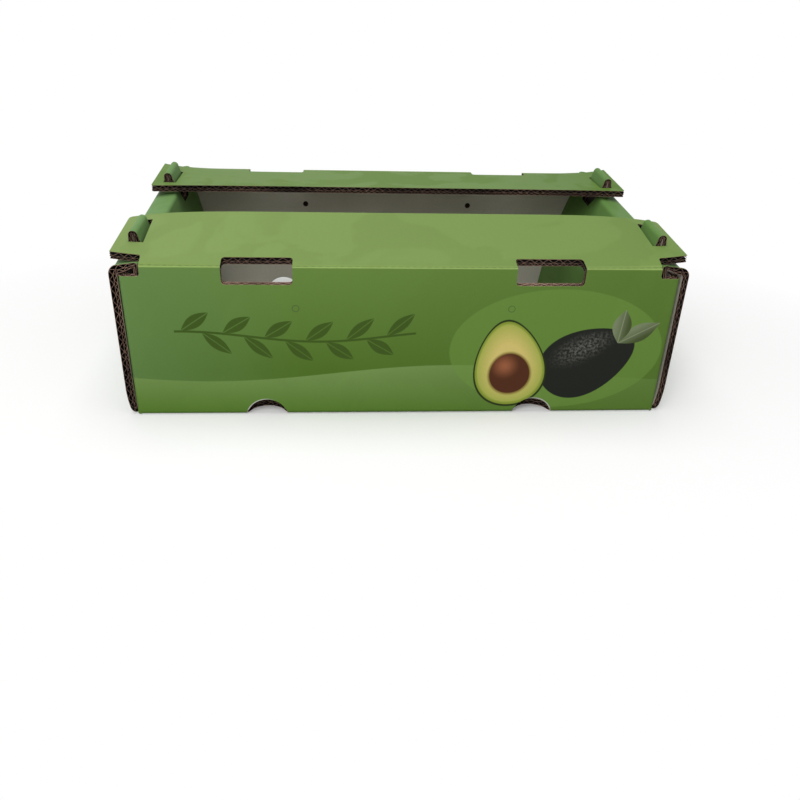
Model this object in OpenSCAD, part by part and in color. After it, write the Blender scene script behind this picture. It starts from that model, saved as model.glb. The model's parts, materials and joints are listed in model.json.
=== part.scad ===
// Stacking fruit tray folded from one sheet of double-wall corrugated board.
// Long walls carry wide top flaps, and the ends are rolled over into hollow walls.
// Origin at the middle of the base, X along the length, front wall at -Y, Z up.

/* [Tray] */
// Length over the end walls
tray_l = 500; // [420:1:620]
// Width over the long walls
tray_w = 300; // [260:1:400]
// Height of the top creases
tray_h = 145; // [110:1:220]
// Thickness of the board
board_t = 6.4; // [4:0.1:8]
// Outer radius of the fold between the base and a long wall
wall_fold_r = 4; // [2:0.5:8]

/* [Hollow ends] */
// Thickness of a rolled end wall at its crest, outer face to inner face
end_w = 25; // [22:0.5:40]
// Outer radius of the folds at the foot and the shoulder of an end wall
shoulder_r = 8; // [8:0.5:12]
// Outer radius of the fold at the crest of an end wall
crest_r = 7; // [6.5:0.5:10]
// Slope of the strip that rises from the shoulder to the crest, in degrees
strip_slope = 8; // [0:1:15]
// How far the crests stay below the top creases
crest_drop = 1.2; // [0:0.1:3]
// Lean of the inner panel, which comes down from the crest into the tray, in degrees
inner_lean = 14.5; // [0:0.5:20]
// How far the end panels stop behind the faces of the long walls
end_back = 1.2; // [0.5:0.1:3]
// Gap between the inner panel and the parts that it stands between
inner_gap = 0.8; // [0.4:0.1:2]

/* [Corner flaps] */
// Length of the flaps that tuck from the long walls into the end walls
corner_flap_l = 70; // [40:1:110]
// Gap between a corner flap and the end panel outside it
corner_gap = 2; // [0.5:0.1:3]
// Outer radius of the upright corner fold
corner_r = 4; // [2:0.5:6]

/* [Top flaps] */
// Depth of a top flap from its crease to its free edge
flap_d = 98; // [85:1:120]
// Slope of the middle of the front flap, which springs up off its crease, in degrees
front_slope = 9.3; // [3:0.1:12]
// Slope of the middle of the rear flap, in degrees
rear_slope = 5.5; // [3:0.1:12]
// Slope of the ends of the front flap where they leave the crests, in degrees
front_end_slope = 1.2; // [0:0.1:4]
// Slope of the ends of the rear flap, in degrees
rear_end_slope = 0; // [0:0.1:4]
// Half of the straight middle stretch of a flap
flap_flat = 100; // [30:1:140]
// Gap at a crease and between a flap and the crest under it
crease_gap = 0.3; // [0.2:0.05:0.6]
// Radius of the free corners of a flap
flap_corner_r = 3; // [1:0.5:6]
// Depth of the corner notch in a flap
notch_flap = 14; // [11:0.5:20]
// Depth of the corner notch in a wall
notch_wall = 10.8; // [9.2:0.1:16]
// Room between a corner notch and the end wall that shows in it
notch_gap = 0.6; // [0.4:0.1:2]
// Radius in the corner of a notch
notch_r = 2; // [1:0.5:4]

/* [Locking tabs] */
// Length of a tab along the end wall
tab_l = 44; // [30:1:56]
// Width of a tab where it leaves its slot
tab_w = 10.4; // [8:0.1:12]
// Thickness of one of the two crushed layers of a tab
tab_leg = 4.6; // [3.5:0.1:5]
// Radius of the round top of a tab
tab_r = 4; // [3:0.1:5]
// Height of a tab above the crest of the end wall
tab_proud = 19.4; // [15:0.1:24]
// Distance from a tab to the inner face of the end wall
tab_inset = 3.5; // [2:0.5:6]
// Board left between a slot and the free edge of a flap
slot_edge = 12; // [8:0.5:20]
// Side clearance of a tab in its slot
slot_gap = 0.6; // [0.4:0.1:1.5]
// Clearance of the slot on the inner side of a tab
slot_inner_gap = 2; // [0.6:0.1:3]
// Clearance of the slot at the far end of a tab, for the swing of the flap
slot_far_gap = 3.5; // [3:0.1:8]
// Depth of the hole that a tab leaves in the inner panel, below the crest
tongue_depth = 14.5; // [12:0.5:30]
// Slope of the ends of that hole, in degrees from upright
tongue_taper = 35; // [0:1:45]
// Clearance round a tab from below, in the base of the tray on top
stack_gap = 1.5; // [0.8:0.1:3]

/* [Windows and vents] */
// Width of a window across the top crease
window_l = 60.5; // [40:0.5:80]
// Distance from the middle of the tray to the middle of a window
window_at = 127; // [100:1:150]
// Depth of a window in the wall
window_wall = 16; // [10:0.5:26]
// Depth of a window in the flap
window_flap = 16; // [10:0.5:24]
// Radius in the corners of a window
window_r = 3; // [1:0.5:8]
// Half width of a vent at the bottom crease
vent_half = 18.6; // [10:0.2:26]
// Height of a vent in the wall, and its depth in the base
vent_h = 15.6; // [8:0.2:24]
// Distance from the middle of the tray to the middle of a vent
vent_at = 124; // [100:1:150]
// Diameter of the punched marks in the long walls
punch_d = 6.3; // [3:0.1:10]
// Distance from the middle of the tray to a punched mark
punch_at = 95; // [60:1:130]
// Distance from a top crease down to a punched mark
punch_down = 38; // [30:1:60]
// Outer liner left in place over a punched mark
punch_skin = 0.8; // [0.5:0.1:2]

/* [Hidden] */
$fn = 48;
fold_steps = 6;
over = 1;
half_l = tray_l / 2;
half_w = tray_w / 2;
inner_x = half_l - end_w;
corner_x = half_l - board_t - corner_gap;
notch_x = inner_x - notch_gap;
crest_top = tray_h - crest_drop;
// Half of the angle in the fold at the crest, and where its rounded top lies from its sharp corner
crest_half = (90 + inner_lean - strip_slope) / 2;
crest_out = crest_r * (cos(strip_slope) / tan(crest_half) - sin(strip_slope));
crest_cut = crest_r * (sin(strip_slope) / tan(crest_half) + cos(strip_slope) - 1);
// Corners of the outer face of the rolled strip, before they are rounded
crest_z = crest_top + crest_cut;
shoulder_z = crest_z - end_w * tan(strip_slope);
foot_z = board_t * (1 + sin(inner_lean)) + inner_gap;
foot_x = inner_x - (crest_z - foot_z) * tan(inner_lean);
notch_z = tray_h - notch_wall;
// How much of the bend towards the ends of a flap is made where it lies on a crest
crest_share = bend_share(inner_x + crest_out);
crest_rise = board_t + crease_gap - crest_drop;
tab_top = crest_top + tab_proud;
tab_in = inner_x + tab_inset;
tab_out = tab_in + tab_w;
tab_far = flap_d - slot_edge - slot_far_gap;
tab_near = tab_far - tab_l;
vent_r = (vent_half * vent_half + vent_h * vent_h) / (2 * vent_h);
board_green = "#6d9a41";
flap_green = "#86a860";

function unit(v) = v / norm(v);
function left_of(v) = [-v[1], v[0]];
function turned(v, a) = [v[0] * cos(a) - v[1] * sin(a), v[0] * sin(a) + v[1] * cos(a)];
function within(s) = min(1, max(0, s));

// Points of the round of radius r at corner b between a and c
function round_at(a, b, c, r) =
    let (u = unit(a - b), v = unit(c - b), half = acos(u * v) / 2)
    let (start = b + u * r / tan(half), centre = b + unit(u + v) * r / sin(half))
    [for (k = [0:fold_steps]) centre + turned(start - centre, (180 - 2 * half) * k / fold_steps)];

// A line of corners with its inner corners rounded
function rounded(p, r) =
    let (last = len(p) - 1)
    concat([p[0]], [for (i = [1:last - 1]) each round_at(p[i - 1], p[i], p[i + 1], r[i - 1])], [p[last]]);

// The same line of corners moved to its left by t
function moved(p, t) =
    let (last = len(p) - 1)
    [for (i = [0:last])
        let (m = left_of(unit(p[max(i, 1)] - p[max(i, 1) - 1])))
        let (n = left_of(unit(p[min(i, last - 1) + 1] - p[min(i, last - 1)])))
        p[i] + t * (m + n) / (1 + m * n)];

// Section of a board bent to the left along its outer face, with the outer radius of each fold
module bent_board(path, radii, thick = board_t) {
    inner_radii = [for (r = radii) max(r - thick, crease_gap)];
    inner = rounded(moved(path, thick), inner_radii);
    polygon(concat(rounded(path, radii), [for (i = [len(inner) - 1:-1:0]) inner[i]]));
}

// Rectangle with round corners between two opposite corners
module round_rect(low, high, r) {
    translate([low[0] + r, low[1]]) square([high[0] - low[0] - 2 * r, high[1] - low[1]]);
    translate([low[0], low[1] + r]) square([high[0] - low[0], high[1] - low[1] - 2 * r]);
    for (x = [low[0] + r, high[0] - r], y = [low[1] + r, high[1] - r]) translate([x, y]) circle(r);
}

// Section drawn in X and Z, carried along Y
module along_y(from, to) {
    translate([0, to, 0]) rotate([90, 0, 0]) linear_extrude(height = to - from) children();
}

// Section drawn in Y and Z, carried along X
module along_x(from, to) {
    translate([from, 0, 0]) rotate([90, 0, 90]) linear_extrude(height = to - from) children();
}

// The shape at the front right corner, repeated at all four
module four_corners() {
    for (sx = [0, 1], sy = [0, 1]) mirror([sx, 0, 0]) mirror([0, sy, 0]) children();
}

// Base, end panels, strips and inner panels: one strip of board rolled in at both ends
module rolled_ends() {
    path = [
        [-foot_x, foot_z], [-inner_x, crest_z], [-half_l, shoulder_z], [-half_l, 0],
        [half_l, 0], [half_l, shoulder_z], [inner_x, crest_z], [foot_x, foot_z]
    ];
    radii = [crest_r, shoulder_r, shoulder_r, shoulder_r, shoulder_r, crest_r];
    low = board_t + inner_gap / 2;
    ear_z = notch_z + notch_gap;
    difference() {
        along_y(end_back - half_w, half_w - end_back) bent_board(path, radii);
        // The inner panels fit between the long walls, below their ears in the corner notches
        four_corners() along_y(-half_w, board_t + inner_gap - half_w)
            polygon([[foot_x - over, low], [inner_x + board_t + over, low], [inner_x + board_t + over, ear_z],
                [inner_x, ear_z], [inner_x, tray_h], [foot_x - over, tray_h]]);
        four_corners() tongue_hole();
    }
}

// Hole that a tab leaves when it is pulled up out of the inner panel and the crest
module tongue_hole() {
    lip = tongue_depth * tan(tongue_taper);
    low = crest_top - tongue_depth;
    near = tab_near - half_w - slot_gap;
    far = tab_far - half_w + slot_gap;
    along_x(inner_x - over - tongue_depth * tan(inner_lean), tab_out - tab_leg)
        polygon([[near, tab_top], [near, crest_top - over], [near + lip, low], [far - lip, low],
            [far, crest_top - over], [far, tab_top]]);
}

// Locking tab at one corner: board folded on itself, with its inner layer leaning out to the slot
module tab() {
    lean_z = tray_h + crest_rise;
    bend_z = tab_top - tab_r;
    // The inner face runs from the slot to the round top, and meets the outer face far above it
    lean = 2 * atan((tab_w - 2 * tab_r) / (2 * (bend_z - lean_z)));
    apex_z = lean_z + tab_w / tan(lean);
    path = [[tab_out, crest_top - board_t], [tab_out, apex_z], [tab_in, lean_z], [tab_in, tray_h]];
    along_y(tab_near - half_w, tab_far - half_w) bent_board(path, [tab_r, tab_r], tab_leg);
}

// Long walls and the base between them, mitred along the top creases
module long_walls() {
    end_x = corner_x - corner_r;
    difference() {
        along_x(-end_x, end_x) bent_board(
            [[-half_w, tray_h], [-half_w, 0], [half_w, 0], [half_w, tray_h]], [wall_fold_r, wall_fold_r]);
        for (sy = [0, 1]) mirror([0, sy, 0]) along_x(-half_l, half_l)
            polygon([[-half_w - over, tray_h + over], [over + board_t - half_w, tray_h - board_t - over],
                [over + board_t - half_w, tray_h + over]]);
        four_corners() along_y(-half_w - over, over + board_t - half_w)
            round_rect([notch_x, notch_z], [half_l, tray_h + notch_wall], notch_r);
    }
}

// Upright corner fold and the flap that tucks into the hollow end
module corner_flap() {
    wall_lap = corner_flap_l / 2;
    path = [[corner_x - wall_lap, -half_w], [corner_x, -half_w], [corner_x, corner_flap_l - half_w]];
    translate([0, 0, board_t + inner_gap])
        linear_extrude(height = notch_z - board_t - inner_gap) bent_board(path, [corner_r]);
}

// Window across the top crease, cut through the wall
module wall_window() {
    along_y(-half_w - over, over + board_t - half_w)
        round_rect([window_at - window_l / 2, tray_h - window_wall],
            [window_at + window_l / 2, tray_h + window_wall], window_r);
}

// Half-round vent across the bottom crease, cut in the wall and in the base
module vent() {
    translate([vent_at, over + board_t - half_w, vent_h - vent_r]) rotate([90, 0, 0])
        cylinder(r = vent_r, h = board_t + 2 * over);
    translate([vent_at, vent_h - vent_r - half_w, -over]) cylinder(r = vent_r, h = board_t + 2 * over);
}

// Punched mark, open to the inside, with the printed liner still in place outside
module punch() {
    translate([punch_at, over + board_t - half_w, tray_h - punch_down]) rotate([90, 0, 0])
        cylinder(d = punch_d, h = board_t + over - punch_skin);
}

// Slot in the base that takes a tab of the tray below, with room for it in the end wall
module stack_slot() {
    stack_rise = tab_proud - board_t;
    translate([tab_in - stack_gap, tab_near - half_w - stack_gap, -over])
        cube([tab_w + 2 * stack_gap, tab_l + 2 * stack_gap, stack_rise + stack_gap + over]);
}

module tray() {
    color(board_green) {
        difference() {
            union() {
                rolled_ends();
                long_walls();
                four_corners() corner_flap();
            }
            four_corners() {
                wall_window();
                vent();
                punch();
                stack_slot();
            }
        }
        four_corners() tab();
    }
}

// Share of the bend towards the ends of a flap: none in the middle, all of it at the ends
function bend_share(x) = pow(within((abs(x) - flap_flat) / (half_l - flap_flat)), 4);

// Height of a flap above its crease: a straight slope in the middle, lifted by the crests at the ends
function flap_rise(x, y, slope, end_slope) =
    let (s = bend_share(x), lift = (crest_rise - (1 - crest_share) * notch_flap * tan(slope)) / crest_share)
    let (end = lift * (1 - pow(1 - within(y / notch_flap), 2)) + max(0, y - notch_flap) * tan(end_slope))
    (1 - s) * y * tan(slope) + s * end;

// Sheet of board over a grid of places, with its crease edge mitred
module sprung_board(slope, end_slope) {
    bend_steps = 7;
    side = [for (k = [0:bend_steps]) flap_flat + (half_l - flap_flat) * k / bend_steps];
    xs = concat([for (k = [bend_steps:-1:0]) -side[k]], side);
    ys = [crease_gap, notch_flap / 3, notch_flap, (notch_flap + flap_d) / 2, flap_d];
    rows = len(ys);
    count = len(xs) * rows;
    top = [for (x = xs, y = ys) [x, y - half_w, tray_h + flap_rise(x, y, slope, end_slope)]];
    low = [for (x = xs, y = ys) let (v = max(y, board_t + crease_gap))
        [x, v - half_w, tray_h + flap_rise(x, v, slope, end_slope) - board_t]];
    quads = [for (i = [0:len(xs) - 2], j = [0:rows - 2]) [i * rows + j, (i + 1) * rows + j,
        (i + 1) * rows + j + 1, i * rows + j + 1]];
    rim = concat(
        [for (i = [0:len(xs) - 2]) i * rows],
        [for (j = [0:rows - 2]) (len(xs) - 1) * rows + j],
        [for (i = [len(xs) - 1:-1:1]) i * rows + rows - 1],
        [for (j = [rows - 1:-1:1]) j]);
    polyhedron(
        points = concat(top, low),
        faces = concat(
            [for (q = quads) each [[q[0], q[2], q[1]], [q[0], q[3], q[2]]]],
            [for (q = quads) let (d = q + count * [1, 1, 1, 1])
                each [[d[0], d[1], d[2]], [d[0], d[2], d[3]]]],
            [for (k = [0:len(rim) - 1]) let (a = rim[k], b = rim[(k + 1) % len(rim)])
                each [[a, b, b + count], [a, b + count, a + count]]]));
}

// Outline of the flap seen from above, with its windows, notches and slots
module flap_outline() {
    difference() {
        round_rect([-half_l, -half_w - flap_d], [half_l, flap_d - half_w], flap_corner_r);
        for (sx = [0, 1]) mirror([sx, 0, 0]) {
            round_rect([notch_x, -half_w - notch_flap],
                [half_l + notch_flap, notch_flap - half_w], notch_r);
            round_rect([window_at - window_l / 2, -half_w - window_flap],
                [window_at + window_l / 2, window_flap - half_w], window_r);
            translate([tab_in - slot_inner_gap, tab_near - half_w - slot_gap])
                square([tab_w + slot_inner_gap + slot_gap, tab_l + slot_gap + slot_far_gap]);
        }
    }
}

module top_flap(slope, end_slope) {
    color(flap_green) intersection() {
        sprung_board(slope, end_slope);
        linear_extrude(height = 2 * tray_h) flap_outline();
    }
}

module front_flap() {
    top_flap(front_slope, front_end_slope);
}

module rear_flap() {
    rotate([0, 0, 180]) top_flap(rear_slope, rear_end_slope);
}

tray();
front_flap();
rear_flap();
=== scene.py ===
import json
import bpy
import numpy as np
from mathutils import Matrix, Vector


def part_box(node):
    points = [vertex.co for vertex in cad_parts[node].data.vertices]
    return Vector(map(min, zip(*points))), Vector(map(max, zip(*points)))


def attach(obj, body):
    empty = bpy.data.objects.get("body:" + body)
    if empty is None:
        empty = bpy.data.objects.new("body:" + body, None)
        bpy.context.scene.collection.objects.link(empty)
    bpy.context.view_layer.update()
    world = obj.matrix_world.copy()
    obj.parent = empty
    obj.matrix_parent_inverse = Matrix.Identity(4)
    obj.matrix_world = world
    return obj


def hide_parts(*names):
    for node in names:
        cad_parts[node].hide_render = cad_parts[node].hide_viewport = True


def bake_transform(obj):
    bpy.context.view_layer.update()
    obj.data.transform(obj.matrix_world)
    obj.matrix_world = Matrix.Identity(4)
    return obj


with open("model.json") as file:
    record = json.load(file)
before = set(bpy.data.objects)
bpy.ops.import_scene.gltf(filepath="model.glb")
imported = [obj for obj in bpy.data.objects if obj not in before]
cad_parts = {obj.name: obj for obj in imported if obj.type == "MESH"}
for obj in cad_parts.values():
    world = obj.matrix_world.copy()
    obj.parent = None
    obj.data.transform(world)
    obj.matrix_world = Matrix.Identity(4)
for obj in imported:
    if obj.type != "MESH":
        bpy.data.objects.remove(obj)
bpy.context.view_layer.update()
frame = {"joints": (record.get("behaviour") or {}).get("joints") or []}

# Long walls
# Front and rear walls of double-wall board: three paper liners with two rows of wavy fluting glued between
# them, the outer row coarser. They stand up from the base, and their ends fold in at the corners as flaps
# tucked into the hollow ends. The outside is printed and varnished; windows, vents and marks are die-cut.
mm = 0.001
board = 6.4 * mm
print_liner, middle_liner, grey_liner = 0.32 * mm, 0.25 * mm, 0.32 * mm
flute_paper = 0.38 * mm
flute_pitches, flute_shares = (8.6 * mm, 5.9 * mm), (0.6, 0.4)
flute_drifts, flute_crest = ((0.08, 2.3), (0.012, 10.9)), 0.985
flute_step, liner_step = 0.55 * mm, 1.2 * mm
sharp_from = np.radians(35)
all_layers = ("print", "core", "grey")
tray_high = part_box("tray")[1]
half_l, half_w = tray_high.x, tray_high.y
crease_z = frame["joints"][0]["pos_m"][2]
end_w, end_back, inner_gap = 25 * mm, 1.2 * mm, 0.8 * mm
inner_x = half_l - end_w
corner_x, corner_r, corner_flap = half_l - board - 1.4 * mm, 3.4 * mm, 70 * mm
corner_low = 1 * mm
notch_x, notch_wall, notch_r = inner_x - 0.6 * mm, 8.8 * mm, 2 * mm
notch_z = crease_z - notch_wall
wall_fold_r = 4 * mm
window_at, window_half, window_wall, window_r = 127 * mm, 30.25 * mm, 16 * mm, 3 * mm
window_sides = (window_at - window_half, window_at + window_half)
vent_at, vent_half, vent_h = 124 * mm, 18.6 * mm, 15.6 * mm
vent_r = (vent_half ** 2 + vent_h ** 2) / (2 * vent_h)
mark_at, mark_r, mark_z = 95 * mm, 3.15 * mm, crease_z - 38 * mm
crease_w = 0.9 * mm
wall_straight = corner_x - corner_r
wall_turn = corner_r * np.pi / 2


def spread(start, end, step):
    """Even places from start to end, no more than a step apart."""
    return np.linspace(start, end, max(2, int(np.ceil((end - start) / step)) + 1))


def steady(value):
    """An edge of a strip that stays at one value all along."""
    return lambda u, d: np.full(u.shape, value)


def cells(grid):
    """The four corners of each cell of a grid of point numbers."""
    corners = [grid[:-1, :-1], grid[1:, :-1], grid[1:, 1:], grid[:-1, 1:]]
    return np.stack(corners, -1).reshape(-1, 4)


def layer(place, u, low, high, near, far, rows=2):
    """A closed sheet of paper. At each u along the board it runs in even rows from v = low(u, depth) to
    v = high(u, depth), and it fills the depths from near to far below the printed face. Gives its points,
    its faces and the side of each: 0 near, 1 far, 2 cut edge."""
    skins = []
    for depth in (near, far):
        d = np.broadcast_to(depth, u.shape)
        start = low(u, d)
        v = start[:, None] + (high(u, d) - start)[:, None] * np.linspace(0, 1, rows)
        skins.append(place(u[:, None] + 0 * v, v, d[:, None] + 0 * v))
    points = np.stack(skins).reshape(-1, 3)
    top, under = np.arange(len(points)).reshape(2, len(u), rows)
    quads = np.concatenate([
        cells(top), cells(under.T),
        cells(np.stack([top[:, 0], under[:, 0]])), cells(np.stack([under[:, -1], top[:, -1]])),
        cells(np.stack([under[0], top[0]])), cells(np.stack([top[-1], under[-1]]))])
    sides = np.minimum(np.arange(len(quads)) // ((len(u) - 1) * (rows - 1)), 2)
    a, b, c, d = (points[quads[:, k]] for k in range(4))
    swept = np.sum(a * np.cross(b, c) + a * np.cross(c, d))
    return points, quads if swept > 0 else quads[:, ::-1], sides


def put(name, data):
    """A new object of the scene, at the origin."""
    made = bpy.data.objects.new(name, data)
    bpy.context.scene.collection.objects.link(made)
    return made


def add_piece(name, sheets, papers, body=None):
    """One object from closed sheets, smooth over folds and sharp at cut edges. Its papers are those of the
    near side, the far side and the cut edges."""
    points, quads, sides = zip(*sheets)
    starts = np.cumsum([0] + [len(sheet) for sheet in points])
    mesh = bpy.data.meshes.new(name)
    mesh.from_pydata(np.concatenate(points).tolist(), [],
                     np.concatenate([sheet + start for sheet, start in zip(quads, starts)]).tolist())
    mesh.shade_smooth()
    mesh.set_sharp_from_angle(angle=sharp_from)
    for material in papers:
        mesh.materials.append(material)
    mesh.polygons.foreach_set("material_index", np.concatenate(sides).astype(np.int32))
    piece = put(name, mesh)
    if body:
        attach(piece, body)
    return piece


def wave(turns):
    """The line of a flute between -1 and 1: a triangle wave with soft crests. Its pitch drifts by two
    slow sines."""
    drifted = turns + sum(share * np.sin(rate * turns) for share, rate in flute_drifts)
    return np.arcsin(flute_crest * np.sin(2 * np.pi * drifted)) / np.arcsin(flute_crest)


def board_pieces(name, body, place, strips, papers, thickness=board):
    """The three parts of a stretch of board: fluting with its middle liner, grey liner and printed liner.
    A strip is (start, end, low, high, rows, layers), and layers says which of the three it belongs to.
    The papers are those of the print, the fluting and the cut edges; the fluting's paper is painted dark as
    the shade in the flute channels, and it also covers the liners' faces towards them. Gives the printed
    liner."""
    printed, fluting, cut = papers
    squeeze = thickness / board
    room = thickness - (print_liner + middle_liner + grey_liner) * squeeze
    rows_high = [room * share for share in flute_shares]
    tops = (print_liner * squeeze, (print_liner + middle_liner) * squeeze + rows_high[0])
    outer, core, inner = [], [], []
    for start, end, low, high, rows, layers in strips:
        u = spread(start, end, liner_step)
        if "print" in layers:
            outer.append(layer(place, u, low, high, 0, print_liner * squeeze, rows))
        if "grey" in layers:
            inner.append(layer(place, u, low, high, thickness - grey_liner * squeeze, thickness, rows))
        if "core" in layers:
            core.append(layer(place, u, low, high, tops[0] + rows_high[0], tops[1], rows))
            fine = spread(start, end, flute_step)
            for flute_top, row_high, pitch in zip(tops, rows_high, flute_pitches):
                swing = (row_high - flute_paper * squeeze) / 2
                near = flute_top + swing * (1 + wave(fine / pitch))
                core.append(layer(place, fine, low, high, near, near + flute_paper * squeeze, rows))
    add_piece(name + "_fluting", core, (fluting, fluting, cut), body)
    add_piece(name + "_lining", inner, (fluting, grey_paper, cut), body)
    return add_piece(name + "_print", outer, (printed, fluting, cut), body)


def wall_place(turn):
    """Point of a long wall: u runs along it and round both corners, v is the height, depth goes inwards.
    Where the board is deeper than the corner's radius, its corner is sharp."""
    def place(u, v, depth):
        along, side = np.abs(u), np.sign(u)
        pivot = np.maximum(corner_r, depth)
        angle = np.clip((along - wall_straight) / corner_r, 0, np.pi / 2)
        tail = np.maximum(along - wall_straight - wall_turn, 0)
        x = np.where(angle > 0, corner_x - pivot + (pivot - depth) * np.sin(angle),
                     np.minimum(along, corner_x - depth))
        y = np.where(angle > 0, pivot - (pivot - depth) * np.cos(angle), depth) + tail
        return np.stack([turn * side * x, turn * (y - half_w), v], -1)
    return place


def rounded_end(gap, r):
    """How far a cut with corners of radius r falls short of its full depth, at a gap from its side."""
    inside = np.clip(r - gap, 0, r)
    return r - np.sqrt(r ** 2 - inside ** 2)


def vent_reach(x):
    """How far the round vents reach from the bottom crease at x, or below zero away from them."""
    off = np.abs(np.abs(x) - vent_at)
    return vent_h - vent_r + np.sqrt(np.maximum(vent_r ** 2 - off ** 2, 0))


def mark_low(u, d):
    """Lower half of the round edge of a punched mark."""
    return mark_z - np.sqrt(np.maximum(mark_r ** 2 - (np.abs(u) - mark_at) ** 2, 0))


def mark_high(u, d):
    """Upper half of that edge: the lower half mirrored at the middle of the mark."""
    return 2 * mark_z - mark_low(u, d)


def wall_strips():
    """Upright strips of a long wall between the places where its top or bottom edge changes."""
    tip = wall_straight + wall_turn + corner_flap - corner_r
    mark = (mark_at - mark_r, mark_at + mark_r)
    edges = sorted([0, *mark, *window_sides, notch_x, wall_straight, wall_straight + wall_turn, tip])
    strips = []
    for start, end in zip(edges[:-1], edges[1:]):
        middle = (start + end) / 2

        def low(u, d, in_corner=middle > wall_straight, tucked=middle > wall_straight + wall_turn):
            if in_corner:
                return np.full(u.shape, board + inner_gap if tucked else corner_low)
            return np.maximum(np.maximum(wall_fold_r, d), vent_reach(u))

        def high(u, d, in_window=window_sides[0] < middle < window_sides[1], notched=middle > notch_x):
            along = np.abs(u)
            if in_window:
                gap = window_half - np.abs(along - window_at)
                return crease_z - window_wall + rounded_end(gap, window_r)
            if notched:
                return notch_z + rounded_end(along - notch_x, notch_r)
            return crease_z - np.maximum(crease_w, d)

        for a, b in ((start, end), (-end, -start)):
            if mark[0] < middle < mark[1]:
                strips.append((a, b, low, high, 2, ("print",)))
                strips.append((a, b, low, mark_low, 2, ("core", "grey")))
                strips.append((a, b, mark_high, high, 2, ("core", "grey")))
            else:
                strips.append((a, b, low, high, 2, all_layers))
    return strips


def node_maker(tree):
    """Empties a node tree and gives the maker of its nodes: add(kind, inputs, settings), where each input
    is a value or a socket to link."""
    tree.nodes.clear()

    def add(kind, inputs=(), **settings):
        made = tree.nodes.new("ShaderNode" + kind)
        for key, value in settings.items():
            setattr(made, key, value)
        for key, value in dict(inputs).items():
            if isinstance(value, bpy.types.NodeSocket):
                tree.links.new(value, made.inputs[key])
            else:
                made.inputs[key].default_value = value
        return made

    return add


def new_material(name):
    """A material without nodes, and the maker of its nodes."""
    material = bpy.data.materials.new(name)
    material.use_nodes = True
    return material, node_maker(material.node_tree)


def ink(red, green, blue):
    """A colour given in 0 to 255, as the linear colour that a shader takes."""
    s = np.array([red, green, blue]) / 255
    linear = np.where(s <= 0.04045, s / 12.92, ((s + 0.055) / 1.055) ** 2.4)
    return (*[float(c) for c in linear], 1.0)


def calc(add, operation, *values):
    """The socket of one Math node."""
    return add("Math", dict(enumerate(values)), operation=operation).outputs[0]


def scaled(add, value, gain, base):
    """The value times a gain, plus a base."""
    return calc(add, "MULTIPLY_ADD", value, gain, base)


def ramp(add, value, start, end):
    """0 at the start and 1 at the end of a stretch, even between."""
    return add("MapRange", {"Value": value, "From Min": start, "From Max": end}).outputs[0]


def field(add, value, edge, soft):
    """1 where the value is below the edge and 0 above it, with a soft step between."""
    step = {"Value": value, "From Min": edge - soft, "From Max": edge + soft, "To Min": 1.0, "To Max": 0.0}
    return add("MapRange", step, interpolation_type="SMOOTHSTEP").outputs[0]


def over(add, under, colour, mask, strength=None):
    """A colour laid over another where the mask is 1, in full or at a strength below 1."""
    if strength is not None:
        mask = calc(add, "MULTIPLY", mask, strength)
    return add("Mix", {0: mask, 6: under, 7: colour}, data_type="RGBA").outputs[2]


def shaded(add, tone, gain):
    """A colour made lighter or darker by a gain."""
    return add("HueSaturation", {"Color": tone, "Value": gain}).outputs[0]


def noise(add, where, scale, detail, **more):
    """The grey value of a cloudy pattern."""
    return add("TexNoise", {"Vector": where, "Scale": scale, "Detail": detail, **more}).outputs["Fac"]


def surface(add, tone, roughness, shine, height, bump, depth):
    """A surface of one tone, with its roughness, its shine and the bumps of a height pattern."""
    relief = add("Bump", {"Strength": bump, "Distance": depth, "Height": height})
    shader = add("BsdfPrincipled", {"Base Color": tone, "Roughness": roughness,
                                    "Normal": relief.outputs["Normal"], "Specular IOR Level": shine})
    add("OutputMaterial", {"Surface": shader.outputs[0]})


def paper(name, pale, dark, fibre_size, roughness, bump):
    """Bare paper: two tones mixed by the sum of fine fibres and soft clouds, with a fibrous bump."""
    material, add = new_material(name)
    where = add("TexCoord").outputs["Object"]
    fibres = noise(add, where, scale=1 / fibre_size, detail=6.0, Roughness=0.7)
    clouds = noise(add, where, scale=14.0, detail=2.0)
    tone = over(add, dark, pale, ramp(add, calc(add, "ADD", fibres, clouds), start=0.75, end=1.25))
    surface(add, tone, roughness, shine=0.25, height=fibres, bump=bump, depth=0.4 * mm)
    return material


def varnished(add, where, tone, patch_sheen_gain, flute_axis):
    """Printed liner: the tone with varnish patches, which are a little smoother and lighter in colour as a
    painted sheen, and fine grain, and a satin coat over faint flutes.
    The wave pattern is scaled from its own wave length to the pitch of the outer flutes."""
    wave_length = 0.314
    patch = field(add, noise(add, where, scale=9.0, detail=3.0, Distortion=1.2), edge=0.5, soft=0.03)
    grain = noise(add, where, scale=700.0, detail=4.0)
    # The patches lighten the tone: painted sheen of the varnish.
    tone = shaded(add, tone, scaled(add, patch, patch_sheen_gain, base=1.0))
    tone = shaded(add, tone, scaled(add, grain, gain=0.12, base=0.94))
    flutes = add("TexWave", {"Vector": where, "Scale": wave_length / flute_pitches[0], "Distortion": 0.4},
                 bands_direction=flute_axis)
    height = scaled(add, grain, gain=0.35, base=flutes.outputs["Fac"])
    surface(add, tone, scaled(add, patch, gain=-0.08, base=0.5), shine=0.03, height=height,
            bump=0.10, depth=0.3 * mm)


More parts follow.
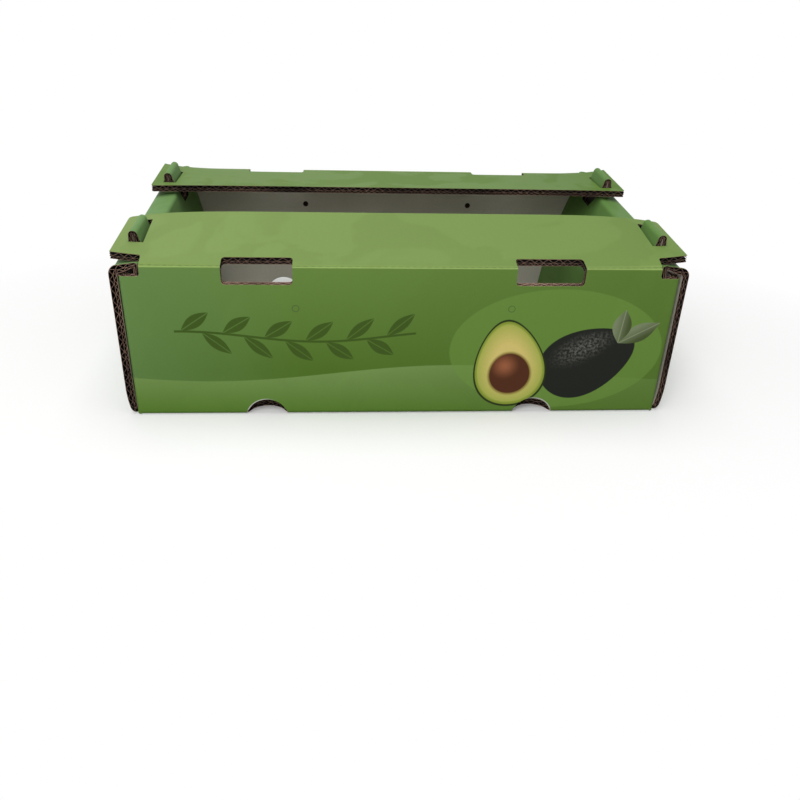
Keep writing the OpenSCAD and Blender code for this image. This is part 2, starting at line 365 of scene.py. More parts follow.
# The print of the walls, in mm along x and z: lines are (turn per mm, start, swing, height), pear shapes
# are (middle, tilt, half width, half height, taper) and rows of leaves are (side, first, last).
band_line, stem_line, stem_ends = (0.0145, 0.9, 8.0, 43.0), (0.026, 0.4, 5.0, 80.0), (-201.0, 11.0)
leaf_rows = ((1.0, -196.0, 15.0), (-1.0, -178.0, 0.0))
leaf_pitch, leaf_l, leaf_half, leaf_tilt, rib_cut = 36.0, 33.0, 6.2, 36.87, 0.7
fruit_oval = ((140, 66), 0, 98.0, 60.0, 0.0)
whole_fruit, whole_light = ((170, 55), -62, 33.0, 46.0, 0.22), ((165, 69), -62, 15.0, 34.0, 0.1)
cut_fruit, fruit_stone = ((98, 52), 8, 33.0, 45.0, 0.26), ((99, 42), 8, 19.0, 21.0, 0.06)
stone_light = ((94, 50), 8, 12.0, 12.0, 0.0)
stalk_at, stalk_leaves, stalk_leaf_half = (196, 73), ((30, 42.0), (85, 34.0)), 9.0
ring_r = mark_r / mm - 0.2


def wavy_line(add, x, rate, start, swing, height):
    """Height at x of a line that swings as a sine."""
    return scaled(add, calc(add, "SINE", scaled(add, x, rate, start)), swing, height)


def between(add, x, start, last):
    """1 between two places along the wall and 0 beyond them."""
    off = calc(add, "ABSOLUTE", calc(add, "SUBTRACT", x, (start + last) / 2))
    return field(add, off, edge=(last - start) / 2, soft=0.4)


def turned(add, along, up, tilt):
    """Coordinates turned by a tilt in degrees."""
    c, s = float(np.cos(np.radians(tilt))), float(np.sin(np.radians(tilt)))
    return (scaled(add, up, s, calc(add, "MULTIPLY", along, c)),
            scaled(add, up, c, calc(add, "MULTIPLY", along, -s)))


def about(add, x, z, at, tilt):
    """Coordinates about a place on the wall, turned by a tilt in degrees."""
    return turned(add, calc(add, "SUBTRACT", x, at[0]), calc(add, "SUBTRACT", z, at[1]), tilt)


def length_of(add, a, b):
    """Root of the sum of two squares."""
    return calc(add, "SQRT", calc(add, "ADD", calc(add, "POWER", a, 2.0), calc(add, "POWER", b, 2.0)))


def pear(add, x, z, at, tilt, half_width, half_height, taper):
    """Below 1 inside a pear shape: an ellipse whose width shrinks evenly towards its top."""
    p, q = about(add, x, z, at, tilt)
    t = calc(add, "DIVIDE", q, half_height)
    width = scaled(add, t, -taper * half_width, half_width)
    return length_of(add, calc(add, "DIVIDE", p, width), t)


def leaf(add, p, q, length, half_width):
    """Masks of a leaf that grows along p: its blade, which bulges as a half sine, and its midrib."""
    share = calc(add, "MINIMUM", calc(add, "MAXIMUM", calc(add, "DIVIDE", p, length), 0.0), 1.0)
    bulge = calc(add, "SINE", calc(add, "MULTIPLY", share, float(np.pi)))
    off = calc(add, "ABSOLUTE", q)
    past = calc(add, "SUBTRACT", off, calc(add, "MULTIPLY", bulge, half_width))
    return field(add, past, edge=-0.4, soft=0.3), field(add, off, edge=0.45, soft=0.25)


def round_hole(add, x, z, at_x, at_z):
    """How far out from the middle of a pair of holes, and from the middle itself, a place lies."""
    apart = calc(add, "SUBTRACT", calc(add, "ABSOLUTE", x), at_x / mm)
    return apart, length_of(add, apart, calc(add, "SUBTRACT", z, at_z / mm))


def wall_ground(add, x, z):
    """Ground of a wall: a green that deepens downwards, cooler to the left and darker to the right, the
    last partly print and partly painted shade, with a paler band under a wavy line along the foot."""
    tone = over(add, ink(104, 135, 65), ink(82, 113, 42), ramp(add, z, start=145, end=45))
    tone = over(add, tone, ink(103, 138, 84), ramp(add, x, start=-90, end=-250), strength=0.6)
    above = calc(add, "SUBTRACT", z, wavy_line(add, x, *band_line))
    band = over(add, ink(121, 151, 86), ink(89, 124, 49), ramp(add, z, start=50, end=4))
    tone = over(add, tone, band, field(add, above, edge=0.0, soft=0.4))
    # Darker to the right: partly print and partly painted shade.
    return over(add, tone, ink(90, 120, 52), ramp(add, x, start=-60, end=200), strength=0.65)


def sprig(add, x, z):
    """Mask of a sprig: a stem along a wavy line, and on each side of it a row of slanting leaves."""
    above = calc(add, "SUBTRACT", z, wavy_line(add, x, *stem_line))
    stem = field(add, calc(add, "ABSOLUTE", above), edge=1.1, soft=0.3)
    mask = calc(add, "MULTIPLY", stem, between(add, x, *stem_ends))
    for up, first, last in leaf_rows:
        along = calc(add, "FLOORED_MODULO", calc(add, "SUBTRACT", x, first), leaf_pitch)
        p, q = turned(add, along, calc(add, "MULTIPLY", above, up), leaf_tilt)
        blade, rib = leaf(add, p, q, leaf_l, leaf_half)
        blade = calc(add, "SUBTRACT", blade, calc(add, "MULTIPLY", rib, rib_cut))
        mask = calc(add, "MAXIMUM", mask, calc(add, "MULTIPLY", blade, between(add, x, first, last)))
    return mask


def fruit(add, where, x, z, tone):
    """A paler oval over the tone, and on it a whole fruit with a grainy shine and two leaves, and a cut one
    with skin, flesh and stone: pear shapes laid over each other from the back."""
    tone = over(add, tone, ink(112, 148, 68), field(add, pear(add, x, z, *fruit_oval), 1.0, 0.008), 0.55)
    skin, skin_light, leaf_rib = ink(38, 40, 36), ink(122, 122, 116), ink(150, 158, 126)
    whole = pear(add, x, z, *whole_fruit)
    light = field(add, pear(add, x, z, *whole_light), edge=0.6, soft=0.6)
    pimples = ramp(add, noise(add, where, scale=420.0, detail=3.0, Roughness=0.65), start=0.42, end=0.66)
    tone = over(add, tone, skin, field(add, whole, edge=1.0, soft=0.012))
    light = calc(add, "MULTIPLY", calc(add, "MULTIPLY", light, field(add, whole, 0.9, 0.1)), pimples)
    tone = over(add, tone, skin_light, light, strength=0.8)
    for tilt, length in stalk_leaves:
        p, q = about(add, x, z, stalk_at, tilt)
        blade, rib = leaf(add, p, q, length, stalk_leaf_half)
        tone = over(add, tone, over(add, ink(74, 86, 52), ink(124, 136, 104), ramp(add, q, -6, 6)), blade)
        tone = over(add, tone, leaf_rib, calc(add, "MULTIPLY", blade, rib), strength=0.6)
    cut = pear(add, x, z, *cut_fruit)
    cut_skin, green_rim, stone_rim = ink(44, 52, 30), ink(134, 152, 58), ink(132, 112, 58)
    tone = over(add, tone, cut_skin, field(add, cut, edge=1.0, soft=0.012))
    tone = over(add, tone, green_rim, field(add, cut, edge=0.955, soft=0.012))
    flesh = over(add, ink(168, 176, 84), ink(214, 196, 118), ramp(add, cut, start=0.9, end=0.45))
    tone = over(add, tone, flesh, field(add, cut, edge=0.9, soft=0.03))
    stone = pear(add, x, z, *fruit_stone)
    tone = over(add, tone, stone_rim, field(add, stone, edge=1.06, soft=0.08))
    light = field(add, pear(add, x, z, *stone_light), edge=0.6, soft=0.7)
    brown = over(add, ink(84, 50, 34), ink(158, 98, 68), light)
    return over(add, tone, brown, field(add, stone, edge=0.98, soft=0.015))


def wall_print(name, with_fruit):
    """Print of a long wall: the ground, a sprig of leaves and, on the front, fruit. A faint dark ring,
    painted shade of the hairline cut, shows each punched mark, and the outer half of each vent has a pale
    worn rim."""
    material, add = new_material(name)
    where = add("TexCoord").outputs["Object"]
    split = add("SeparateXYZ", {0: where})
    x, z = (calc(add, "MULTIPLY", split.outputs[k], 1 / mm) for k in (0, 2))
    tone = over(add, wall_ground(add, x, z), ink(66, 90, 36), sprig(add, x, z))
    if with_fruit:
        tone = fruit(add, where, x, z, tone)
    apart, out = round_hole(add, x, z, mark_at, mark_z)
    # Painted shade of the hairline cut round each punched mark.
    hairline_shade = calc(add, "ABSOLUTE", calc(add, "SUBTRACT", out, ring_r))
    tone = over(add, tone, ink(70, 84, 58), field(add, hairline_shade, edge=0.35, soft=0.2), strength=0.7)
    apart, out = round_hole(add, x, z, vent_at, vent_h - vent_r)
    rim = field(add, calc(add, "SUBTRACT", out, vent_r / mm), edge=0.8, soft=0.3)
    tone = over(add, tone, ink(190, 191, 184), rim, ramp(add, apart, start=-8, end=6))
    varnished(add, where, tone, patch_sheen_gain=0.025, flute_axis="X")
    return material


edge_fibres, flute_fibres = (0.9 * mm, 0.9, 0.5), (0.8 * mm, 0.95, 0.4)
lining_fibres = (1.2 * mm, 0.85, 0.25)
# The cut edges of the walls and bottom folds are a paler kraft than kraft_edge: painted light on cut faces
# that face up to the lamps.
wall_edge = paper("wall_edge", ink(236, 196, 172), ink(84, 61, 51), *edge_fibres)
# The fluting of the walls and bottom folds is painted dark brown: painted shade of the flute channels, less
# dark than on the ends and flaps because the walls' cuts face up to the light.
open_flute = paper("open_flute", ink(84, 62, 53), ink(50, 36, 31), *flute_fibres)
grey_paper = paper("grey_lining", ink(200, 196, 185), ink(184, 180, 169), *lining_fibres)
front_print = wall_print("front_print", True)
rear_print = wall_print("rear_print", False)
for name, turn, printed in (("front_wall", 1, front_print), ("rear_wall", -1, rear_print)):
    wall = board_pieces(name, "tray", wall_place(turn), wall_strips(), (printed, open_flute, wall_edge))
    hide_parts("tray")

# Base and rolled ends
# One strip of the blank: the base, and at each end a panel that stands up, bends in over a shoulder, rises
# to a crest and comes down again as the inner panel. Its flutes lie across it, open at the corners.
shoulder_r, crest_r, strip_slope, crest_drop = 8 * mm, 4 * mm, np.radians(8), 1.2 * mm
crest_crush, crush_span = 0.45, 9 * mm
foot_tuck, tuck_z = 3.5 * mm, 28 * mm
inner_lean = np.radians(14.5)
crest_top = crease_z - crest_drop
crest_half = np.tan((np.pi / 2 + inner_lean - strip_slope) / 2)
crest_z = crest_top + crest_r * (np.sin(strip_slope) / crest_half + np.cos(strip_slope) - 1)
shoulder_z = crest_z - end_w * np.tan(strip_slope)
foot_z = board * (1 + np.sin(inner_lean)) + inner_gap
foot_x = inner_x - (crest_z - foot_z) * np.tan(inner_lean)
flap_d, slot_edge, slot_far_gap, slot_gap = 98 * mm, 12 * mm, 3.5 * mm, 0.6 * mm
tab_l, tab_w, tab_leg, tab_inset = 44 * mm, 10.4 * mm, 4.6 * mm, 3.5 * mm
tab_in = inner_x + tab_inset
tab_out = tab_in + tab_w
tab_far = flap_d - slot_edge - slot_far_gap
tab_near = tab_far - tab_l
tongue_depth, tongue_start, stack_gap = 14.5 * mm, 1 * mm, 1.5 * mm
tongue_slant = np.radians(35)
tongue_lip = tongue_depth * np.tan(tongue_slant)
free_z, free_y, free_rows, end_lift = 95 * mm, half_w - 13.5 * mm, 9, 4 * mm
ear_z, ear_y, ear_slant = notch_z + 0.6 * mm, half_w - board - inner_gap + 0.01 * mm, 0.6
bend_steps = 24


def bent_path(corners, radii):
    """Outer face of a bent board: straight runs joined by arcs. Gives the length along it, its points,
    and the normals to the left, each a row for every point."""
    heading = [(b - a) / np.linalg.norm(b - a) for a, b in zip(corners[:-1], corners[1:])]
    lefts = [np.array([-way[1], way[0]]) for way in heading]
    points, normals = [corners[0]], [lefts[0]]
    for corner, r, before, after, left in zip(corners[1:-1], radii, heading[:-1], heading[1:], lefts):
        turn = np.arccos(np.clip(before @ after, -1, 1))
        centre = corner - before * r * np.tan(turn / 2) + left * r
        angle = np.linspace(0, turn, bend_steps)[:, None]
        normal = np.cos(angle) * left - np.sin(angle) * before
        points.extend(centre - r * normal)
        normals.extend(normal)
    points, normals = np.array([*points, corners[-1]]), np.array([*normals, lefts[-1]])
    length = np.concatenate([[0], np.cumsum(np.linalg.norm(np.diff(points, axis=0), axis=1))])
    return length, points, normals


def on_path(path, u, depth):
    """x and z of a bent path at a length u, moved by a depth along its normal."""
    length, points, normals = path
    return (np.interp(u, length, points[:, k]) + depth * np.interp(u, length, normals[:, k])
            for k in (0, 1))


roll_corners = np.array([[0, 0], [half_l, 0], [half_l, shoulder_z], [inner_x, crest_z], [foot_x, foot_z]])
roll = bent_path(roll_corners, (shoulder_r, shoulder_r, crest_r))
roll_length, roll_x, roll_z = roll[0], roll[1][:, 0], roll[1][:, 1]


def roll_at(values, target, after):
    """Length along the roll where x or z comes down to a target, past a given length."""
    inside = roll_length >= after
    return np.interp(-target, -values[inside], roll_length[inside])


crest_u = roll_length[np.argmax(roll_z)]
rising = roll_length < crest_u
free_u = np.interp(free_z, roll_z[rising], roll_length[rising])
tongue_u = roll_at(roll_x, tab_out - tab_leg, crest_u - end_w)
ear_u = roll_at(roll_z, ear_z, crest_u)
hole_u = roll_at(roll_z, crest_top - tongue_depth, crest_u)
slot_in_u, slot_out_u, bend_u = tab_in - stack_gap, tab_out + stack_gap, corner_x + shoulder_r


def soft_step(share):
    """0 up to a share of 0 and 1 from 1 on, with a smooth cubic between."""
    share = np.clip(share, 0, 1)
    return share ** 2 * (3 - 2 * share)


def roll_place(side, swing, bow, edge_gain):
    """Point of a rolled end: u runs from the middle of the base out, up, over and down inside, v is y.
    The board is crushed in the crest, and gains or loses a little depth at its free edges. The foot of the
    outer panel is tucked in by the square of the way down. The inner panel bows in as a half sine, and its
    foot swings out. In front of the flaps the top of the end is free, and springs up towards its cut edge.
    Its ears there stay upright in the corner notches."""
    def place(u, v, depth):
        away = soft_step((np.abs(v) - free_y) / (half_w - end_back - free_y))
        past_slot = np.clip((u - slot_out_u) / shoulder_r, 0, 1)
        crush = crest_crush * np.exp(-((u - crest_u) / crush_span) ** 2)
        x, z = on_path(roll, u, depth * (1 + edge_gain * past_slot * away - crush))
        down = np.where(u > crest_u, np.clip((crest_z - z) / (crest_z - foot_z), 0, 1), 0)
        tuck = np.where(u < crest_u, past_slot * np.clip(1 - z / tuck_z, 0, 1) ** 2, 0)
        x = x + swing * down - bow * np.sin(np.pi * down) - foot_tuck * tuck
        ear = (np.abs(v) > ear_y) & (u > crest_u)
        x = np.where(ear, np.maximum(x, inner_x + ear_slant * depth), x)
        rise_from = np.where(u > crest_u, ear_z, free_z)
        share = np.clip((z - rise_from) / (shoulder_z - rise_from), 0, 1)
        return np.stack([side * x, v, z + end_lift * share * away], -1)
    return place


def base_reach(u, d):
    """Half of the base at u: it ends at the folds of the long walls, less where a vent is cut."""
    return half_w - np.maximum(np.maximum(wall_fold_r, d), vent_reach(u))


def bend_reach(u, d):
    """Half of the bottom bend: it starts behind the long walls and comes out to the panel's width."""
    return half_w - board + (board - end_back) * soft_step((u - corner_x) / shoulder_r)


def tongue_taper(u):
    """How far the ends of the hole in the inner panel close in, growing from the crest down."""
    fall = crest_top - tongue_start - np.interp(u, roll_length, roll_z)
    return tongue_lip * np.clip(fall / (tongue_depth - tongue_start), 0, 1)


def tongue_near(u, d):
    """Distance from the middle to the end of the hole that the tab left in the inner panel."""
    return half_w - tab_far - slot_gap + tongue_taper(u)


def tongue_outer(u, d):
    """Distance from the middle to the other end of that hole."""
    return half_w - tab_near + slot_gap - tongue_taper(u)


def mirrored(edge):
    """The same edge on the other side of the middle."""
    return lambda u, d: -edge(u, d)


def across(start, end, *edges):
    """Strips from side to side between pairs of edges, which are given from the middle outwards and
    repeated on the other side. An odd first edge bounds a strip over the middle."""
    odd = len(edges) % 2
    strips = [(start, end, mirrored(edges[0]), edges[0], 2, all_layers)] if odd else []
    for inner, outer in zip(edges[odd::2], edges[odd + 1::2]):
        rows = free_rows if inner is free_reach else 2
        strips.append((start, end, inner, outer, rows, all_layers))
        strips.append((start, end, mirrored(outer), mirrored(inner), rows, all_layers))
    return strips


def plain_green(name, left, right, flute_axis, patch_sheen_gain):
    """Print without shapes: a green that shifts evenly along the box, a little cloudy. The shift from the
    lighter left green to the darker right one is painted light and shade.
    """
    material, add = new_material(name)
    where = add("TexCoord").outputs["Object"]
    along = ramp(add, add("SeparateXYZ", {0: where}).outputs[0], start=-half_l, end=half_l)
    clouds = scaled(add, noise(add, where, scale=5.0, detail=1.0), gain=0.16, base=0.92)
    varnished(add, where, shaded(add, over(add, left, right, along), clouds), patch_sheen_gain, flute_axis)
    return material


panel_reach, inside_reach = steady(half_w - end_back), steady(half_w - board - inner_gap)
slot_near, slot_outer = steady(half_w - tab_far - stack_gap), steady(half_w - tab_near + stack_gap)
free_reach = steady(free_y)
roll_strips = [
    *across(0, slot_in_u, base_reach),
    *across(slot_in_u, wall_straight, slot_near, slot_outer, base_reach),
    *across(wall_straight, slot_out_u, slot_near, slot_outer, bend_reach),
    *across(slot_out_u, bend_u, free_reach, free_reach, bend_reach),
    *across(bend_u, free_u, free_reach, free_reach, panel_reach),
    *across(free_u, tongue_u, free_reach, free_reach, panel_reach),
    *across(tongue_u, ear_u, tongue_near, tongue_outer, free_reach, free_reach, panel_reach),
    *across(ear_u, hole_u, tongue_near, tongue_outer, inside_reach),
    *across(hole_u, roll_length[-1], inside_reach)]
kraft_edge = paper("kraft_edge", ink(170, 136, 118), ink(66, 49, 41), *edge_fibres)
# The fluting of the ends, tabs, flaps and creases is painted near black: painted shade of the deep, narrow
# flute channels.
deep_flute = paper("deep_flute", ink(14, 11, 9), ink(7, 5, 4), *flute_fibres)
# The ends' green is lighter at the left end and darker at the right end: painted light and shade.
end_green = plain_green("end_green", ink(106, 141, 85), ink(94, 129, 67), flute_axis="Z", patch_sheen_gain=0.03)
end_papers = (end_green, deep_flute, kraft_edge)
rolled_ends = (("left_end", -1, 8.6 * mm, 3 * mm, 0.1), ("right_end", 1, 0, 5 * mm, -0.08))
for name, side, swing, bow, edge_gain in rolled_ends:
    end = board_pieces(name, "tray", roll_place(side, swing, bow, edge_gain), roll_strips, end_papers)

# Bottom folds
# Where the base turns up into a long wall the printed liner bends round a small radius, over crushed
# fluting. The vents cut through this fold.
fold_steps, fold_crushed = 9, 0.9 * wall_fold_r
fold_angle = np.linspace(0, np.pi / 2, fold_steps)


def fold_place(turn):
    """Point of a bottom fold: u is the angle from the wall to the base, v is x, depth goes inwards."""
    def place(u, v, depth):
        r = wall_fold_r - depth
        y = wall_fold_r - r * np.cos(u) - half_w
        return np.stack([turn * v, turn * y, wall_fold_r - r * np.sin(u)], -1)
    return place


def vent_side(at, way):
    """One side of a vent along the fold: a way of -1 or 1 times half of its width from its middle."""
    def edge(u, d):
        r = wall_fold_r - d
        off = np.minimum(wall_fold_r - r * np.sin(u), wall_fold_r - r * np.cos(u))
        return at + way * np.sqrt(vent_r ** 2 - (off - vent_h + vent_r) ** 2)
    return edge


fold_runs = ((steady(-wall_straight), vent_side(-vent_at, -1)),
             (vent_side(-vent_at, 1), vent_side(vent_at, -1)),
             (vent_side(vent_at, 1), steady(wall_straight)))
for name, turn, printed in (("front_fold", 1, front_print), ("rear_fold", -1, rear_print)):
    place = fold_place(turn)
    crushed = [layer(place, fold_angle, *run, print_liner, fold_crushed) for run in fold_runs]
    liner = [layer(place, fold_angle, *run, 0, print_liner) for run in fold_runs]
    add_piece(name + "_fluting", crushed, (open_flute, open_flute, wall_edge), "tray")
    add_piece(name + "_print", liner, (printed, open_flute, wall_edge), "tray")

# Locking tabs
# Four tongues are pulled up out of the inner panels and the crests, folded double and crushed. They stand
# up through the slots of the top flaps and hold them down.
tab_r, tab_h, tab_root, tab_squeeze = 4 * mm, 19.3 * mm, 2 * mm, 0.8
rest_gap = 0.3 * mm
crest_rise = board + rest_gap - crest_drop
tab_lean_z = crease_z + crest_rise
tab_lean = 2 * np.arctan((tab_w - 2 * tab_r) / (2 * (crest_top + tab_h - tab_r - tab_lean_z)))
tab_top = tab_lean_z + tab_w / np.tan(tab_lean)
tab_corners = np.array([[tab_out, crest_top - tab_root], [tab_out, tab_top],
                        [tab_in, tab_lean_z], [tab_in, crease_z]])
tab_path = bent_path(tab_corners, (tab_r, tab_r))
tab_flat = np.concatenate([[1], np.full(bend_steps, tab_squeeze), np.full(bend_steps, 1), [1]])


def tab_place(side, turn):
    """Point of a tab: u runs up its outer face and down its inner one, v along it, depth inwards. The
    board is squeezed in the fold, so that its layers don't cross."""
    def place(u, v, depth):
        x, z = on_path(tab_path, u, depth * np.interp(u, tab_path[0], tab_flat))
        return np.stack([side * x, turn * (v - half_w), z], -1)
    return place


tab_strips = [(0, tab_path[0][-1], steady(tab_near), steady(tab_far), 2, all_layers)]
for name, side, turn in (("front_left_tab", -1, 1), ("front_right_tab", 1, 1),
                         ("rear_left_tab", -1, -1), ("rear_right_tab", 1, -1)):
    tab = board_pieces(name, "tray", tab_place(side, turn), tab_strips, end_papers, tab_leg)

# Top flaps
# Each flap turns in from the top crease of a long wall. Its ends lie on the crests, held by the tabs, and
# its middle springs up. Flutes run from the crease to the free edge.
flap_flat, notch_flap, window_flap, flap_corner_r = 100 * mm, 14 * mm, 16 * mm, 3 * mm
slot_inner_gap, crease_gap, score_w = 2 * mm, 0.3 * mm, 4.2 * mm
print_depth = 1.01 * print_liner
rest_x = inner_x + 5.2 * mm
flap_rows, rows_before_slot, rows_past_slot = 14, 6, 3


def bend_share(x):
    """Share of the bend towards the ends: the fourth power of the way from the flat middle to the end."""
    return np.clip((np.abs(x) - flap_flat) / (half_l - flap_flat), 0, 1) ** 4


def flap_rise(x, y, slope, end_slope):
    """Height above the crease: a straight slope in the middle, and at the ends the lift of the crest,
    rounded over the depth of the corner notch, with a slight slope after it."""
    share, on_crest = bend_share(x), bend_share(rest_x)
    lift = (crest_rise - (1 - on_crest) * notch_flap * np.tan(slope)) / on_crest
    ends = lift * (1 - (1 - np.clip(y / notch_flap, 0, 1)) ** 2)
    ends = ends + np.maximum(y - notch_flap, 0) * np.tan(end_slope)
    return (1 - share) * y * np.tan(slope) + share * ends


def flap_place(turn, slope, end_slope):
    """Point of a flap: u is x, v the distance from the crease, depth goes straight down."""
    def place(u, v, depth):
        z = crease_z + flap_rise(u, v, slope, end_slope) - depth
        return np.stack([turn * u, turn * (v - half_w), z], -1)
    return place


def flap_edge_line(u, d):
    """Free edge of a flap, with its rounded corners."""
    return flap_d - rounded_end(half_l - np.abs(u), flap_corner_r)


def flap_strips():
    """Strips of a flap from the crease to the free edge, between the places where its edges change."""
    slot = (tab_in - slot_inner_gap, tab_out + slot_gap)
    edges = sorted([0, *window_sides, notch_x, *slot, half_l])
    strips = []
    for start, end in zip(edges[:-1], edges[1:]):
        middle = (start + end) / 2

        def low(u, d, in_window=window_sides[0] < middle < window_sides[1], notched=middle > notch_x):
            along = np.abs(u)
            if in_window:
                return window_flap - rounded_end(window_half - np.abs(along - window_at), window_r)
            if notched:
                return notch_flap - rounded_end(along - notch_x, notch_r)
            return np.where(d < print_depth, score_w, crease_gap + d)

        for a, b in ((start, end), (-end, -start)):
            if slot[0] < middle < slot[1]:
                before, past = steady(tab_near - slot_gap), steady(tab_far + slot_far_gap)
                strips.append((a, b, low, before, rows_before_slot, all_layers))
                strips.append((a, b, past, flap_edge_line, rows_past_slot, all_layers))
            else:
                strips.append((a, b, low, flap_edge_line, flap_rows, all_layers))
    return strips


# The cut edges of the flaps are a darker kraft than kraft_edge: painted shade on edges that face forward,
# away from the light.
flap_edge = paper("flap_edge", ink(148, 118, 102), ink(56, 42, 35), *edge_fibres)
# Each flap's green is lighter at the left and darker at the right: painted light and shade.
front_green = plain_green("front_flap_green", ink(121, 144, 83), ink(107, 132, 69),
                          flute_axis="X", patch_sheen_gain=0.06)
# The rear flap carries the same ink as the front flap; its darker green is painted shade.
rear_shaded_green = plain_green("rear_flap_green", ink(102, 130, 66), ink(88, 119, 49),
                         flute_axis="X", patch_sheen_gain=0.06)
flaps = (("front_flap", 1, np.radians(9.3), np.radians(1.2), front_green),
         ("rear_flap", -1, np.radians(5.5), 0.0, rear_shaded_green))
for name, turn, slope, end_slope, printed in flaps:
    place = flap_place(turn, slope, end_slope)
    flap = board_pieces(name, name, place, flap_strips(), (printed, deep_flute, flap_edge))
    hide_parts(name)

# Top creases
# The flap and the wall are one sheet, and only the printed liner is whole along the crease. A scored groove
# runs beside it on the flap. The strip is bent between the wall and the raised flap.
score_at, groove_depth, groove_w = 1.9 * mm, 0.35 * mm, 0.45 * mm
dash_pitch, dash_middle, dash_swing = 6.2 * mm, 0.6, 0.4
crease_step, crease_rows, lining_rows = 1.5 * mm, 25, 6
lining_near, lining_far = -0.1 * mm, 0.15 * mm


def crease_place(turn, slope, end_slope):
    """Point of a crease strip: u is x, v runs from 0 on the wall over the bend at 1 to 2 on the flap,
    depth goes inwards. The bend is a quadratic curve with the sharp corner as its middle point, and the
    groove is a bell curve that deepens and fades in dashes."""
    def place(u, v, depth):
        t = np.clip(v, 0, 1)
        reach = crease_w + np.clip(v - 1, 0, 1) * (score_w - crease_w)
        dash = dash_middle + dash_swing * np.sin(2 * np.pi * u / dash_pitch)
        groove = groove_depth * dash * np.exp(-((reach - score_at) / groove_w) ** 2)
        rise = flap_rise(u, np.where(v > 1, reach, crease_w), slope, end_slope)
        y = np.where(v > 1, reach, t ** 2 * crease_w) + depth * (1 - t)
        z = np.where(v > 1, rise - groove, t ** 2 * rise - (1 - t) ** 2 * crease_w) - depth * t
        return np.stack([turn * u, turn * (y - half_w), crease_z + z], -1)
    return place


def wall_mitre(turn):
    """Point of the crushed lining on a wall's top edge: u is x, v runs from the print to the inside at 45
    degrees, depth goes down."""
    def place(u, v, depth):
        d = crease_w + v * (board - crease_w)
        return np.stack([turn * u, turn * (d - half_w), crease_z - d - depth], -1)
    return place


def flap_mitre(turn, slope, end_slope):
    """Point of the crushed lining on a flap's crease edge: u is x, v runs from the print to the inside at
    45 degrees, depth goes away from the wall."""
    def place(u, v, depth):
        d = print_liner + v * (board - print_liner)
        reach = crease_gap + d + depth
        z = crease_z + flap_rise(u, reach, slope, end_slope) - d
        return np.stack([turn * u, turn * (reach - half_w), z], -1)
    return place


# The crease's print carries painted light: a painted highlight along the bend and painted shade in the
# scored groove.
crease_green, add = new_material("crease_green")
where = add("TexCoord").outputs["Object"]
split = add("SeparateXYZ", {0: where})
y, z = (calc(add, "MULTIPLY", split.outputs[k], 1 / mm) for k in (1, 2))
back = calc(add, "SUBTRACT", half_w / mm, calc(add, "ABSOLUTE", y))
fall = calc(add, "MAXIMUM", calc(add, "SUBTRACT", crease_z / mm, z), 0.0)
# The ridge of the bend is a lighter green: painted highlight where the convex fold catches the light,
# partly paler cracked ink.
ridge_highlight_and_crack = field(add, calc(add, "ADD", back, fall), edge=0.55, soft=0.2)
dash = calc(add, "SINE", calc(add, "MULTIPLY", split.outputs[0], 2 * np.pi / dash_pitch))
# The dashed groove is a dark green: painted shade in the scored groove.
groove = field(add, calc(add, "ABSOLUTE", calc(add, "SUBTRACT", back, score_at / mm)), edge=0.35, soft=0.3)
tone = over(add, ink(119, 143, 79), ink(138, 165, 92), ridge_highlight_and_crack)
tone = over(add, tone, ink(58, 76, 36), groove, scaled(add, dash, gain=0.2, base=0.35))
varnished(add, where, tone, patch_sheen_gain=0.05, flute_axis="X")
crease_runs = ((-notch_x, -window_sides[1]), (-window_sides[0], window_sides[0]),
               (window_sides[1], notch_x))
for name, turn, slope, end_slope, printed in flaps:
    place = crease_place(turn, slope, end_slope)
    runs = [layer(place, spread(*run, crease_step), steady(0.0), steady(2.0), 0, print_liner, crease_rows)
            for run in crease_runs]
    crease = add_piece(name.replace("flap", "crease"), runs, (crease_green, deep_flute, kraft_edge))
    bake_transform(crease)
    for ending, place, body in (("_wall_score", wall_mitre(turn), "tray"),
                                ("_flap_score", flap_mitre(turn, slope, end_slope), name)):
        runs = [layer(place, spread(*run, liner_step), steady(0.0), steady(1.0),
                      lining_near, lining_far, lining_rows) for run in crease_runs]
        add_piece(name.replace("_flap", ending), runs, (grey_paper, deep_flute, kraft_edge), body)

# Floor, light and camera
# A pale sweep of floor that runs out to white, under three soft boxes: one above, one high in front and
# one low in front. The camera stands where the picture was taken from.
floor_half = 12.0
white = (1.0, 1.0, 1.0, 1.0)
plain_level = 0.26


def seen(add, path):
    """1 for rays from the camera, and for those that reach it by a mirror or through glass."""
    mirror = calc(add, "MAXIMUM", path.outputs["Is Glossy Ray"], path.outputs["Is Transmission Ray"])
    return calc(add, "MAXIMUM", path.outputs["Is Camera Ray"], mirror)


floor_white, add = new_material("floor_white")
path = add("LightPath")
tone = over(add, ink(246, 246, 245), ink(170, 170, 168), path.outputs["Is Diffuse Ray"])
sweep = add("BsdfPrincipled", {"Base Color": tone, "Roughness": 0.8, "Specular IOR Level": 0.1})
away = add("Mapping", {"Vector": add("TexCoord").outputs["Object"], "Scale": (1 / half_l, 1 / half_w, 0)})
away = add("VectorMath", {0: away.outputs[0]}, operation="LENGTH").outputs["Value"]
far = calc(add, "MULTIPLY", ramp(add, away, start=1.0, end=2.3), seen(add, path))
glow = add("Emission", {"Color": white, "Strength": 1.0})
shader = add("MixShader", {0: far, 1: sweep.outputs[0], 2: glow.outputs[0]})
add("OutputMaterial", {"Surface": shader.outputs[0]})
floor_mesh = bpy.data.meshes.new("floor")
floor_mesh.from_pydata([(-floor_half, -floor_half, 0), (floor_half, -floor_half, 0),
                        (floor_half, floor_half, 0), (-floor_half, floor_half, 0)], [], [(0, 1, 2, 3)])
floor_mesh.materials.append(floor_white)
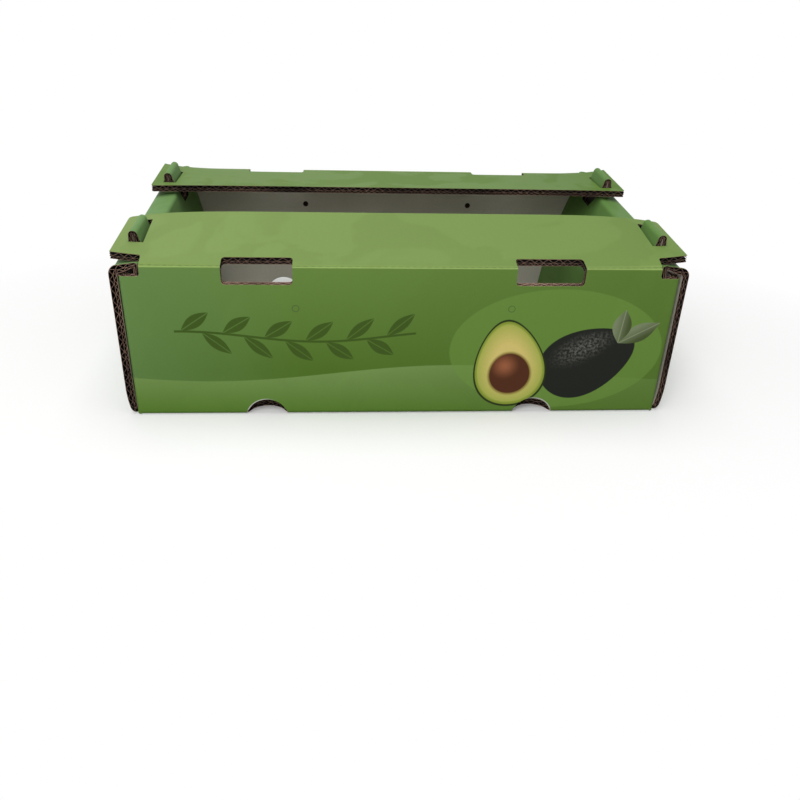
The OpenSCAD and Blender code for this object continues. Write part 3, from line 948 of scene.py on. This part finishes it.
floor = put("floor", floor_mesh)

world = bpy.data.worlds.new("studio")
world.use_nodes = True
add = node_maker(world.node_tree)
level = calc(add, "MAXIMUM", seen(add, add("LightPath")), plain_level)
backdrop = add("Background", {"Color": white, "Strength": level})
add("OutputWorld", {"Surface": backdrop.outputs[0]})
bpy.context.scene.world = world


def stand(made, axes, place):
    """Stands an object at a place, with its x, y and z along three axes."""
    rows = np.column_stack([*axes, place]).tolist()
    made.matrix_world = Matrix([*rows, [0, 0, 0, 1]])


def soft_box(name, place, target, size, watts):
    """A square area lamp that faces a target."""
    lamp = bpy.data.lights.new(name, "AREA")
    lamp.shape, lamp.size, lamp.energy = "SQUARE", size, watts
    away = np.array(place) - np.array(target)
    z = away / np.linalg.norm(away)
    x = np.cross([0.0, 1.0, 0.0], z)
    x = x / np.linalg.norm(x)
    stand(put(name, lamp), (x, np.cross(z, x), z), place)


soft_box("key", place=(-0.1, 0.1, 1.9), target=(0, 0, 0.1), size=1.3, watts=18)
soft_box("front", place=(-0.45, -1.45, 1.55), target=(0, 0, 0.1), size=1.2, watts=23)
soft_box("fill", place=(-0.3, -2.3, 0.66), target=(0, 0, 0.13), size=1.0, watts=8.5)

focal_px, picture_px = 844.27, 800
camera_place = np.array([-58.545, -824.848, 413.704]) * mm
pitch, yaw, roll_angle = 0.53285, 0.08483, -0.03754
forward = np.array([np.sin(yaw) * np.cos(pitch), np.cos(yaw) * np.cos(pitch), -np.sin(pitch)])
across_view = np.array([np.cos(yaw), -np.sin(yaw), 0.0])
plumb = np.cross(forward, across_view)
right = np.cos(roll_angle) * across_view + np.sin(roll_angle) * plumb
down = np.cos(roll_angle) * plumb - np.sin(roll_angle) * across_view
lens = bpy.data.cameras.new("camera")
lens.sensor_width = 36
lens.lens = lens.sensor_width * focal_px / picture_px
lens.clip_start, lens.clip_end = 0.05, 60
camera = put("camera", lens)
stand(camera, (right, -down, -forward), camera_place)
bpy.context.scene.camera = camera
bpy.context.scene.view_settings.view_transform = "Standard"
